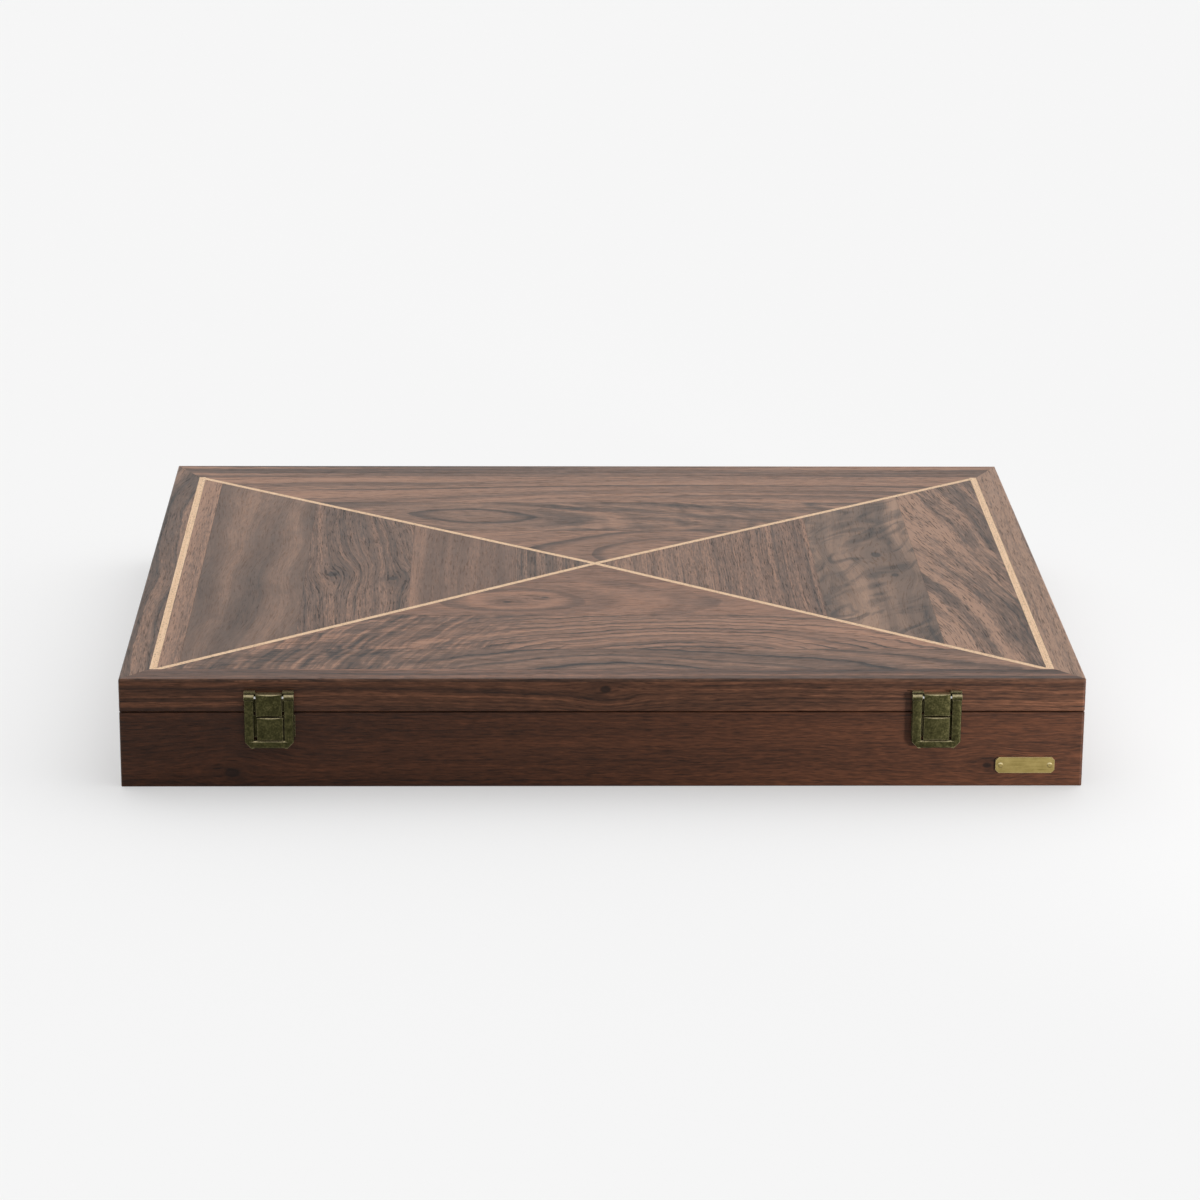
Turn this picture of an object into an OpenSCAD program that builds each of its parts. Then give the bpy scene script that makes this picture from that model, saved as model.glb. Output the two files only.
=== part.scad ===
// Mahjong case: a shallow hinged walnut case. Its lid carries a mitred band round four fans of
// walnut boards, parted by pale inlay. Two loop latches close the front, two butt hinges carry
// the lid, and a divided tray lined with felt holds the tiles.
//
// Millimetres. X runs to the right, Y from the front to the back, Z up.
// The origin is the middle of the footprint, on the surface that the case rests on.

/* [Case] */
// Width, left to right
case_w = 390; // [380:1:410]
// Depth, front to back, without latches and hinges
case_d = 316; // [306:1:330]
// Height with the lid closed
case_h = 46; // [46:0.5:52]
// Height of the base's rim above the table
base_h = 31.8; // [31.8:0.1:33]
// Gap between rim and lid
seam_gap = 0.3; // [0.2:0.1:0.5]
// Thickness of the walls of base and lid
wall_t = 11.5; // [10:0.5:13]
// Thickness of the bottom panel and of the lid's core panel
panel_t = 4; // [3:0.5:4]
// Radius of the case's upright corners
corner_r = 1.2; // [0.8:0.1:2]
// Radius of the edges that meet the table and the seam
edge_r = 0.6; // [0.4:0.1:1]

/* [Lid top] */
// Thickness of the wood and inlay laid on the core panel
top_t = 1.2; // [1:0.1:2]
// Radius of the lid's upper edge
top_r = 0.9; // [0.5:0.1:0.9]
// Width of the band along the front
band_front = 12.6; // [12:0.1:16]
// Width of the band along the back
band_back = 20.4; // [14:0.1:22]
// Width of the bands along the sides
band_side = 11.5; // [10:0.1:14]
// Width of the two straight inlay strips
strip_w = 3; // [2:0.1:5]
// Width of the four arms of the crossed inlay
arm_w = 2.5; // [1.5:0.1:4]
// Width of a full board in the four fans
board_w = 45.7; // [30:0.1:60]

/* [Inside] */
// Thickness of the felt lining
felt_t = 1; // [0.8:0.1:1.5]
// Thickness of the dividers
divider_t = 4; // [4:0.5:6]
// Height of the dividers' top edges above the table
divider_top = 29; // [24:0.5:30]
// Depth of the accessory tray along the front
tray_d = 68; // [60:1:74]

/* [Latches] */
// Distance of each latch from the middle of the case
latch_x = 134.6; // [100:0.1:150]
// Width of a latch
latch_w = 20; // [18:0.5:24]
// Height of the latch pin's axis above the seam
latch_pin_rise = 7; // [6:0.1:7.5]
// Width of the two rails of the latch frame
rail_w = 4; // [3.5:0.1:4.5]

/* [Hinges] */
// Distance of each hinge from the middle of the case
hinge_x = 120; // [80:1:150]
// Length of a hinge
hinge_l = 40; // [30:1:50]

/* [Name plate] */
// Length of the bare brass plate
plate_l = 24; // [20:1:30]
// Height of the bare brass plate
plate_h = 6.7; // [5:0.1:8]

/* [Hidden] */
$fn = 48;
eps = 0.01;
cut = 1;       // how far a cutting tool runs past a face
fit = 0.05;    // radial play of pins, nails and screws in their holes
glue_gap = 0.04;

// The four sides, counted anticlockwise from the front
FRONT = 0;
RIGHT = 1;
BACK = 2;
LEFT = 3;

// Heights
seam_z = base_h + seam_gap / 2;
lid_z = base_h + seam_gap;
top_z = case_h - top_t;
core_z = top_z - panel_t;
felt_z = panel_t + felt_t;

// Inside
inner_w = case_w - 2 * wall_t;
inner_d = case_d - 2 * wall_t;
rabbet_w = 5;
dado = 1.5;
divider_dado = 1;
divider_r = 1;              // rounding of the dividers' top edges
dado_play = 0.05;
felt_play = 0.2;
divider_y = -inner_d / 2 + tray_d + divider_t / 2;
well_w = (inner_w - 3 * divider_t) / 4;
divider_pitch = well_w + divider_t;

// Lid top, seen from above
bands = [band_front, band_side, band_back, band_side];
field_x = case_w / 2 - band_side;
fan_x = field_x - strip_w;
field_front = -case_d / 2 + band_front;
field_back = case_d / 2 - band_back;
cross = [0, 0];
back_aim = 2.5;            // how far in front of the back band the rear arms start
front_tip = field_front;
back_tip = field_back - back_aim;
first_joint = [-28, 51, 50, -35];   // first glue line of each fan, from the middle outward

// Latches, measured outward from the case's front
leaf_t = 0.8;
knuckle_r = 1.4;
knuckle_play = 0.15;
latch_pin_r = 0.6;
latch_pin_y = leaf_t + knuckle_play + knuckle_r;
latch_reach = latch_pin_y + knuckle_r;
latch_pin_z = seam_z + latch_pin_rise;
frame_t = 1.1;
frame_crown = 0.3;
knuckle_bulge = 0.45;       // how far a knuckle stands out in front of its rail
rail_reach = latch_reach - knuckle_bulge;
frame_drop = 21.4;          // from the pin's axis down to the frame's lower edge
frame_z = latch_pin_z - frame_drop;
bar_h = 3.1;
bar_back = 1;
bar_gap = 0.35;             // play of the bar under the keeper's pad
frame_chamfer = 2.8;
bevel = 0.4;
pad_w = 10.7;
pad_reach = 3.7;
pad_crown = 0.5;
pad_gap = 0.65;
pad_split = seam_z - 1;
pad_rise = 1.5;
pad_top = latch_pin_z + pad_rise;
keeper_low = frame_z + bar_h + bar_gap;
keeper_leaf_h = 9.1;
keeper_shift = [0.4, 0];   // the left keeper was nailed on a little off centre
ear_w = 4.5;
ear_t = 0.6;
ear_reach = 2.3;
ear_rise = 2.4;
plate_top = latch_pin_z + ear_rise;
nail_r = 0.6;
nail_head_r = 1.2;
nail_head_t = 0.5;
nail_l = 8;
nail_spare = 0.5;           // how much deeper than its nail a hole is drilled
nail_x = 7.9;
plate_nail_z = lid_z + 3.4;
keeper_nail_z = pad_split - 5;
dome = 0.6;                 // flat top of a domed head, as a share of its width
crown_fn = 96;

// Hinges
barrel_r = 2.2;
hinge_pin_r = 1;
hinge_out = latch_reach - barrel_r;   // the barrels stand out behind as far as the latches in front
hinge_y = case_d / 2 + hinge_out;
hinge_leaf_t = 1.2;
hinge_leaf_d = 9;
knuckles = 5;
knuckle_gap = 0.15;
knuckle_l = (hinge_l - (knuckles - 1) * knuckle_gap) / knuckles;
barrel_play = 0.3;
hinge_head_r = 1.6;
hinge_head_t = 0.5;
screw_r = 0.9;
screw_head_r = 1.9;
screw_l = 7;
screw_pitch = 13;
screw_y = 5;
slot_w = 0.5;
slot_d = 0.4;

// Name plate
plate_t = 0.8;
plate_x = 159.4;
plate_z = 9.3;
plate_cut = 1.3;
plate_pin_r = 0.55;
plate_pin_head_r = 1.1;
plate_pin_in = 2;
plate_pin_l = 5;
plate_pin_dome = 0.4;

WALNUT = "#6b4a3a";
DARK_WALNUT = "#5c3f33";
MAPLE = "#d9b48a";
PLYWOOD = "#c9a87c";
FELT = "#1f4a38";
BRONZE = "#5a5430";
STEEL = "#c8c8c4";
BRASS = "#b8a050";

// ---------------------------------------------------------------- helpers

// Extrudes a section drawn as (Y, Z) along X, centred
module along_x(length) rotate([90, 0, 90]) linear_extrude(length, center = true) children();

// Extrudes an outline drawn as (X, Z) along Y, centred
module along_y(length) rotate([90, 0, 0]) linear_extrude(length, center = true) children();

module rod_x(r, length) rotate([0, 90, 0]) cylinder(h = length, r = r, center = true);

// What a rounded edge takes off a square corner at the origin
module corner_waste(r) {
    difference() {
        translate([-cut, -cut]) square(r + cut);
        translate([r, r]) circle(r);
    }
}

function side_length(i) = i % 2 == 0 ? case_w : case_d;
function side_offset(i) = (i % 2 == 0 ? case_d : case_w) / 2;

// Turns a part drawn at the front, with its outer face at y = 0, to face side i
module on_side(i) rotate(90 * i) translate([0, -side_offset(i), 0]) children();

// Plan of a board along one side, mitred at both ends to neighbours of the given widths
module mitred_plan(length, width, left_w, right_w) {
    difference() {
        polygon([[-length / 2, 0], [length / 2, 0], [length / 2 - right_w, width],
                 [-length / 2 + left_w, width]]);
        translate([-length / 2, 0]) corner_waste(corner_r);
        translate([length / 2, 0]) mirror([1, 0]) corner_waste(corner_r);
    }
}

// ---------------------------------------------------------------- base and lid walls

module wall_section(z0, z1, low_r, high_r, rabbet_z) {
    difference() {
        translate([0, z0]) square([wall_t, z1 - z0]);
        translate([0, z0]) corner_waste(low_r);
        if (high_r > 0) translate([0, z1]) mirror([0, 1]) corner_waste(high_r);
        translate([wall_t - rabbet_w, rabbet_z]) square([rabbet_w + cut, panel_t + cut]);
    }
}

module wall(i, z0, z1, low_r, high_r, rabbet_z) {
    length = side_length(i);
    on_side(i) intersection() {
        linear_extrude(z1 + cut) mitred_plan(length, wall_t, wall_t, wall_t);
        along_x(length) wall_section(z0, z1, low_r, high_r, rabbet_z);
    }
}

module base_wall(i) wall(i, 0, base_h, edge_r, edge_r, -cut);
module lid_wall(i) wall(i, lid_z, top_z, edge_r, 0, core_z);

// Slot that holds a divider's end, open at the rim, in a face that looks along +Y or -Y
module dado_slot(x, y, depth) {
    translate([x - divider_t / 2 - dado_play, y - depth, panel_t])
        cube([divider_t + 2 * dado_play, 2 * depth, base_h]);
}

module side_dado() {
    translate([-inner_w / 2 - dado, divider_y - divider_t / 2 - dado_play, panel_t])
        cube([inner_w + 2 * dado, divider_t + 2 * dado_play, base_h]);
}

module base_front_wall() {
    color(DARK_WALNUT) difference() {
        base_wall(FRONT);
        for (side = [-1, 1]) {
            dado_slot(side * divider_pitch, -inner_d / 2, dado);
            at_latch(side) keeper_place(side) nail_pair(keeper_nail_z, nail_r + fit);
        }
        name_plate_place() plate_pin_pair(plate_pin_r + fit);
    }
}

module base_back_wall() {
    color(DARK_WALNUT) difference() {
        base_wall(BACK);
        for (i = [-1:1]) dado_slot(i * divider_pitch, inner_d / 2, dado);
        for (side = [-1, 1]) hinge_mortise(side, base_h - hinge_leaf_t, -1);
    }
}

module base_side_wall(i) color(DARK_WALNUT) difference() {
    base_wall(i);
    side_dado();
}

module lid_front_wall() {
    color(WALNUT) difference() {
        lid_wall(FRONT);
        for (side = [-1, 1]) at_latch(side) nail_pair(plate_nail_z, nail_r + fit);
    }
}

module lid_back_wall() {
    color(WALNUT) difference() {
        lid_wall(BACK);
        for (side = [-1, 1]) hinge_mortise(side, lid_z, 1);
    }
}

module lid_side_wall(i) color(WALNUT) lid_wall(i);

// ---------------------------------------------------------------- panels, lining, dividers

module panel(z) {
    reach = 2 * (rabbet_w - dado_play);
    color(PLYWOOD) translate([0, 0, z + panel_t / 2])
        cube([inner_w + reach, inner_d + reach, panel_t], center = true);
}

module felt_sheet(z) {
    color(FELT) translate([0, 0, z + felt_t / 2])
        cube([inner_w - 2 * felt_play, inner_d - 2 * felt_play, felt_t], center = true);
}

// Upright board with a rounded top
module divider_section() {
    difference() {
        translate([-divider_t / 2, felt_z]) square([divider_t, divider_top - felt_z]);
        for (way = [0, 1]) mirror([way, 0]) translate([-divider_t / 2, divider_top])
            mirror([0, 1]) corner_waste(divider_r);
    }
}

module long_divider() {
    color(WALNUT) difference() {
        translate([0, divider_y, 0]) along_x(inner_w + 2 * (dado - dado_play)) divider_section();
        for (i = [-1:1]) dado_slot(i * divider_pitch, divider_y + divider_t / 2, divider_dado);
        for (i = [-1, 1]) dado_slot(i * divider_pitch, divider_y - divider_t / 2, divider_dado);
    }
}

// Divider across the case from y0 to y1, let into the dadoes at both ends
module cross_divider(i, y0, y1) {
    color(WALNUT) translate([i * divider_pitch, (y0 + y1) / 2, 0])
        along_y(y1 - y0) divider_section();
}

module tile_divider(i) {
    cross_divider(i, divider_y + divider_t / 2 - divider_dado + dado_play,
                  inner_d / 2 + dado - dado_play);
}

module tray_divider(i) {
    cross_divider(i, -inner_d / 2 - dado + dado_play,
                  divider_y - divider_t / 2 + divider_dado - dado_play);
}

// ---------------------------------------------------------------- lid top

module band_strip(i) {
    length = side_length(i);
    color(WALNUT) on_side(i) intersection() {
        linear_extrude(case_h + cut)
            mitred_plan(length, bands[i], bands[(i + 3) % 4], bands[(i + 1) % 4]);
        along_x(length) difference() {
            translate([0, top_z]) square([bands[i], top_t]);
            translate([0, case_h]) mirror([0, 1]) corner_waste(top_r);
        }
    }
}

module laid_on_top() translate([0, 0, top_z]) linear_extrude(top_t) children();

module inlay_strip(side) {
    color(MAPLE) laid_on_top()
        translate([side > 0 ? fan_x : -field_x, field_front])
            square([strip_w, field_back - field_front]);
}

// Straight band from the crossing towards the tip, run past both ends
module arm_line(tip) {
    run = norm(tip - cross);
    translate(cross) rotate(atan2(tip.y - cross.y, tip.x - cross.x))
        translate([-arm_w, -arm_w / 2]) square([run + 3 * arm_w, arm_w]);
}

// One half of the field between the straight strips, side 1 to the right and -1 to the left
module field_half(side) {
    translate([side > 0 ? 0 : -fan_x, field_front]) square([fan_x, field_back - field_front]);
}

function tip(side, y) = [side * fan_x, y];

// The front left and back right arms butt against the other diagonal
module arm(side, y, through) {
    color(MAPLE) laid_on_top() difference() {
        intersection() {
            arm_line(tip(side, y));
            field_half(side);
            translate([-fan_x, y > 0 ? cross.y - arm_w : field_front])
                square([2 * fan_x, (y > 0 ? field_back : -field_front) + arm_w]);
        }
        if (!through) {
            arm_line(tip(1, front_tip));
            arm_line(tip(-1, back_tip));
        }
    }
}

// Outline of each fan, before the arms are taken out of it
function fan_outline(i) =
    i == FRONT ? [cross, [-fan_x, front_tip], [fan_x, front_tip]]
    : i == RIGHT ? [cross, [fan_x, front_tip], [fan_x, back_tip]]
    : i == BACK ? [cross, [fan_x, back_tip], [fan_x, field_back], [-fan_x, field_back], [-fan_x, back_tip]]
    : [cross, [-fan_x, back_tip], [-fan_x, front_tip]];

function fan_reach(i) = i == FRONT ? -field_front : i == BACK ? field_back : fan_x;

// Distances of a fan's board edges from the middle of the lid
function board_edges(i) = concat(0, [for (d = abs(first_joint[i]); d < fan_reach(i); d = d + board_w) d],
                                 fan_reach(i));

// Boards of one fan: separate solids, a hair apart where they are glued
module fan_boards(i) {
    edges = board_edges(i);
    color(WALNUT) for (k = [0:len(edges) - 2]) laid_on_top() intersection() {
        difference() {
            polygon(fan_outline(i));
            for (side = [-1, 1], y = [front_tip, back_tip]) arm_line(tip(side, y));
        }
        rotate(90 * i) translate([-case_w, -edges[k + 1] + (k == len(edges) - 2 ? 0 : glue_gap / 2)])
            square([2 * case_w, edges[k + 1] - edges[k] - glue_gap]);
    }
}

// ---------------------------------------------------------------- latches

// Places a latch part drawn with the case's front face at y = 0 and outward along -Y
module at_latch(side) translate([side * latch_x, -case_d / 2, 0]) children();

module keeper_place(side) translate([keeper_shift[side > 0 ? 1 : 0], 0, 0]) children();

// Nails to the left and right of a latch's middle
module nail_pair(z, r) {
    for (x = [-nail_x, nail_x]) translate([x, nail_l, z]) rotate([90, 0, 0])
        cylinder(h = nail_l + leaf_t + cut, r = r);
}

module domed_head(r, h) cylinder(h = h, r1 = r, r2 = r * dome);

module nails(z) {
    for (x = [-nail_x, nail_x]) translate([x, 0, z]) rotate([90, 0, 0]) {
        translate([0, 0, nail_spare - nail_l]) cylinder(h = nail_l - nail_spare + leaf_t, r = nail_r);
        translate([0, 0, leaf_t]) domed_head(nail_head_r, nail_head_t);
    }
}

// Section of a bar seen from above: flat back, crowned front, bevelled front corners
module crowned_section(w, back, reach, crown) {
    r = (w * w / 4 + crown * crown) / (2 * crown);
    shoulder = -(reach - crown - bevel);
    intersection() {
        polygon([[-w / 2, -back], [w / 2, -back], [w / 2, shoulder], [w / 2 - bevel, -reach],
                 [-w / 2 + bevel, -reach], [-w / 2, shoulder]]);
        translate([0, r - reach]) circle(r, $fn = crown_fn);
    }
}

// Side view of a bar that runs from z0 to z1, with its front edges bevelled
module bevelled_side(back, reach, z0, z1) {
    polygon([[-back, z0], [-reach + bevel, z0], [-reach, z0 + bevel], [-reach, z1 - bevel],
             [-reach + bevel, z1], [-back, z1]]);
}

module pad(z0, z1) {
    intersection() {
        linear_extrude(case_h) crowned_section(pad_w, leaf_t - eps, pad_reach, pad_crown);
        along_x(pad_w) bevelled_side(leaf_t - eps, pad_reach, z0, z1);
    }
}

module latch_leaf(z0, z1) translate([-latch_w / 2, -leaf_t, z0]) cube([latch_w, leaf_t, z1 - z0]);

module latch_pin_axis() translate([0, -latch_pin_y, latch_pin_z]) children();

// Plate on the lid: its leaf is folded forward above each knuckle, and its pad carries the pin
module latch_lid_plate(side) {
    color(BRONZE) at_latch(side) difference() {
        union() {
            latch_leaf(lid_z + bevel, pad_top);
            for (x = [-latch_w / 2, latch_w / 2 - ear_w]) translate([x, 0, plate_top]) {
                translate([0, -leaf_t, pad_top - plate_top - eps])
                    cube([ear_w, leaf_t, plate_top - pad_top + eps]);
                translate([0, -ear_reach, -ear_t]) cube([ear_w, ear_reach, ear_t]);
            }
            pad(pad_split + pad_gap / 2, pad_top);
        }
        latch_pin_axis() rod_x(latch_pin_r + fit, latch_w + cut);
        nail_pair(plate_nail_z, nail_r + fit);
    }
}

// Plate on the base: the frame's bar drops in under its pad
module latch_keeper(side) {
    color(BRONZE) at_latch(side) keeper_place(side) difference() {
        union() {
            latch_leaf(pad_split - keeper_leaf_h, pad_split);
            pad(keeper_low, pad_split - pad_gap / 2);
        }
        nail_pair(keeper_nail_z, nail_r + fit);
    }
}

module latch_pin(side) {
    color(STEEL) at_latch(side) latch_pin_axis() rod_x(latch_pin_r, latch_w - bevel);
}

// Loop that swings on the pin: two crowned rails with knuckles above, joined by a bar below
module latch_frame(side) {
    rail_x = (latch_w - rail_w) / 2;
    color(BRONZE) at_latch(side) difference() {
        intersection() {
            union() {
                for (x = [-rail_x, rail_x]) translate([x, 0, 0]) {
                    latch_pin_axis() rod_x(knuckle_r, rail_w);
                    translate([0, 0, frame_z]) linear_extrude(latch_pin_z - frame_z)
                        crowned_section(rail_w, rail_reach - frame_t, rail_reach, frame_crown);
                }
                along_x(2 * rail_x) bevelled_side(bar_back, rail_reach, frame_z, frame_z + bar_h);
            }
            along_y(2 * (latch_reach + cut)) frame_outline();
        }
        latch_pin_axis() rod_x(latch_pin_r + fit, latch_w + cut);
    }
}

module frame_outline() {
    x = latch_w / 2;
    polygon([[-x, case_h], [-x, frame_z + frame_chamfer], [-x + frame_chamfer, frame_z],
             [x - frame_chamfer, frame_z], [x, frame_z + frame_chamfer], [x, case_h]]);
}

module latch_keeper_nails() {
    color(BRONZE) for (side = [-1, 1]) at_latch(side) keeper_place(side) nails(keeper_nail_z);
}

module latch_plate_nails() {
    color(BRONZE) for (side = [-1, 1]) at_latch(side) nails(plate_nail_z);
}

// ---------------------------------------------------------------- hinges

module hinge_axis(side) translate([side * hinge_x, hinge_y, seam_z]) children();

// Room for a leaf, a barrel and the screws; way is -1 for screws going down and 1 for up
module hinge_mortise(side, z0, way) {
    l = hinge_l + 2 * fit;
    translate([side * hinge_x - l / 2, case_d / 2 - hinge_leaf_d - fit, z0 - (way > 0 ? cut : 0)])
        cube([l, hinge_leaf_d + cut, hinge_leaf_t + cut]);
    hinge_axis(side) rod_x(barrel_r + barrel_play, hinge_l + 2 * (hinge_head_t + barrel_play));
    hinge_screw_places(side, way > 0 ? z0 : z0 + hinge_leaf_t, way)
        cylinder(h = screw_l + fit, r = screw_r + fit);
}

// Places children at a leaf's three screws, with +Z pointing into the wood
module hinge_screw_places(side, z, way) {
    for (i = [-1:1]) translate([side * hinge_x + i * screw_pitch, case_d / 2 - screw_y, z])
        mirror([0, 0, way > 0 ? 0 : 1]) children();
}

// Leaf from z0 up, with the knuckles whose numbers are given
module hinge_leaf(side, z0, numbers, way) {
    reach = hinge_out + hinge_leaf_d;
    clear = barrel_r + barrel_play;
    color(BRONZE) difference() {
        union() {
            translate([side * hinge_x - hinge_l / 2, hinge_y - reach, z0])
                cube([hinge_l, reach - clear, hinge_leaf_t]);
            for (k = numbers) {
                x = side * hinge_x - hinge_l / 2 + k * (knuckle_l + knuckle_gap);
                translate([x, hinge_y - clear - eps, z0]) cube([knuckle_l, clear + eps, hinge_leaf_t]);
                translate([x, hinge_y, seam_z]) rotate([0, 90, 0]) cylinder(h = knuckle_l, r = barrel_r);
            }
        }
        hinge_axis(side) rod_x(hinge_pin_r + fit, hinge_l + cut);
        hinge_screw_places(side, way > 0 ? z0 : z0 + hinge_leaf_t, way) screw_body(fit, cut);
    }
}

// Countersunk screw from its head's face at z = 0 into the wood
module screw_body(play, over) {
    cone = screw_head_r - screw_r;
    translate([0, 0, -over]) cylinder(h = over + eps, r = screw_head_r + play);
    cylinder(h = cone, r1 = screw_head_r + play, r2 = screw_r + play);
    cylinder(h = screw_l, r = screw_r + play);
}

module screw() {
    difference() {
        screw_body(0, 0);
        translate([-screw_head_r - cut, -slot_w / 2, -cut])
            cube([2 * (screw_head_r + cut), slot_w, cut + slot_d]);
    }
}

module hinge_base_leaf(side) hinge_leaf(side, base_h - hinge_leaf_t, [0, 2, 4], -1);
module hinge_lid_leaf(side) hinge_leaf(side, lid_z, [1, 3], 1);

module hinge_pin(side) {
    color(STEEL) hinge_axis(side) {
        rod_x(hinge_pin_r, hinge_l + hinge_head_t);
        for (end = [-1, 1]) translate([end * (hinge_l + hinge_head_t) / 2, 0, 0])
            rod_x(hinge_head_r, hinge_head_t);
    }
}

module hinge_screws(z, way) {
    color(BRONZE) for (side = [-1, 1]) hinge_screw_places(side, z, way) screw();
}

// ---------------------------------------------------------------- name plate

module name_plate_place() translate([plate_x, -case_d / 2, plate_z]) rotate([90, 0, 0]) children();

module plate_pin_pair(r) {
    for (x = [plate_pin_in, plate_l - plate_pin_in]) translate([x, 0, -plate_pin_l])
        cylinder(h = plate_pin_l + plate_t + cut, r = r);
}

module name_plate() {
    h = plate_h / 2;
    color(BRASS) name_plate_place() difference() {
        linear_extrude(plate_t)
            polygon([[0, -h + plate_cut], [plate_cut, -h], [plate_l - plate_cut, -h],
                     [plate_l, -h + plate_cut], [plate_l, h - plate_cut], [plate_l - plate_cut, h],
                     [plate_cut, h], [0, h - plate_cut]]);
        plate_pin_pair(plate_pin_r + fit);
    }
}

module name_plate_pins() {
    color(BRASS) name_plate_place() for (x = [plate_pin_in, plate_l - plate_pin_in])
        translate([x, 0, 0]) {
            translate([0, 0, fit - plate_pin_l]) cylinder(h = plate_pin_l - fit + plate_t, r = plate_pin_r);
            translate([0, 0, plate_t]) domed_head(plate_pin_head_r, plate_pin_dome);
        }
}

// ---------------------------------------------------------------- nodes

base_front_wall();
base_side_wall(RIGHT);  // base_right_wall
base_back_wall();
base_side_wall(LEFT);  // base_left_wall
panel(0);  // bottom_panel
felt_sheet(panel_t);  // base_felt
long_divider();
tile_divider(-1);  // tile_divider_left
tile_divider(0);  // tile_divider_middle
tile_divider(1);  // tile_divider_right
tray_divider(-1);  // tray_divider_left
tray_divider(1);  // tray_divider_right
name_plate();
name_plate_pins();
latch_keeper(-1);  // latch_left_keeper
latch_keeper(1);  // latch_right_keeper
latch_keeper_nails();
hinge_base_leaf(-1);  // hinge_left_base_leaf
hinge_base_leaf(1);  // hinge_right_base_leaf
hinge_pin(-1);  // hinge_left_pin
hinge_pin(1);  // hinge_right_pin
hinge_screws(base_h, -1);  // hinge_base_screws
lid_front_wall();
lid_side_wall(RIGHT);  // lid_right_wall
lid_back_wall();
lid_side_wall(LEFT);  // lid_left_wall
panel(core_z);  // lid_core_panel
felt_sheet(core_z - felt_t);  // lid_felt
band_strip(FRONT);  // band_front_strip
band_strip(RIGHT);  // band_right_strip
band_strip(BACK);  // band_back_strip
band_strip(LEFT);  // band_left_strip
fan_boards(FRONT);  // front_fan_boards
fan_boards(RIGHT);  // right_fan_boards
fan_boards(BACK);  // back_fan_boards
fan_boards(LEFT);  // left_fan_boards
inlay_strip(-1);  // inlay_left_strip
inlay_strip(1);  // inlay_right_strip
arm(-1, front_tip, false);  // inlay_front_left_arm
arm(1, front_tip, true);  // inlay_front_right_arm
arm(1, back_tip, false);  // inlay_back_right_arm
arm(-1, back_tip, true);  // inlay_back_left_arm
latch_lid_plate(-1);  // latch_left_lid_plate
latch_lid_plate(1);  // latch_right_lid_plate
latch_pin(-1);  // latch_left_pin
latch_pin(1);  // latch_right_pin
latch_plate_nails();
hinge_lid_leaf(-1);  // hinge_left_lid_leaf
hinge_lid_leaf(1);  // hinge_right_lid_leaf
hinge_screws(lid_z, 1);  // hinge_lid_screws
latch_frame(-1);  // latch_left_frame
latch_frame(1);  // latch_right_frame
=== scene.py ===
"""Mahjong case: finishes, felt lining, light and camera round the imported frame. Metres, +Z up."""

import math
from typing import NamedTuple

import bpy
from mathutils import Matrix, Vector


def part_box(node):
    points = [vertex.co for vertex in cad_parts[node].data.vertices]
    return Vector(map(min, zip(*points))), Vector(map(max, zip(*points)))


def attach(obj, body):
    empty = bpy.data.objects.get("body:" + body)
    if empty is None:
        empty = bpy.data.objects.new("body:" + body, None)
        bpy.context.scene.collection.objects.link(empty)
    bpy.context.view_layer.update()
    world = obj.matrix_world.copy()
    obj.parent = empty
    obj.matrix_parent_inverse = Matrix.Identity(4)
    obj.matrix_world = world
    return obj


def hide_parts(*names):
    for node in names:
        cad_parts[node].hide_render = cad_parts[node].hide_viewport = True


MM = 0.001

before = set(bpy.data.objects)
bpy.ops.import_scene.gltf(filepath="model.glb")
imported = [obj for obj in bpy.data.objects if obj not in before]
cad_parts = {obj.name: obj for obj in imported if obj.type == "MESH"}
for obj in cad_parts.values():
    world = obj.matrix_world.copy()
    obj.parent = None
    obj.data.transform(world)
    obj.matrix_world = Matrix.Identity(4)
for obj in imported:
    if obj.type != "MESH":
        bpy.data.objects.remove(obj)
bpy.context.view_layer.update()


# ---------------------------------------------------------------- materials as formulas

class Figure(NamedTuple):
    """A noise in a material. Its size is how far apart its features are along each coordinate."""

    size: tuple
    lot: float = 0.0         # sets it apart from other noises of the same size
    detail: float = 2.0
    roughness: float = 0.5
    distortion: float = 0.0
    rise: tuple = ()         # where given, the noise is 0 below the first and 1 above the second


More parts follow.
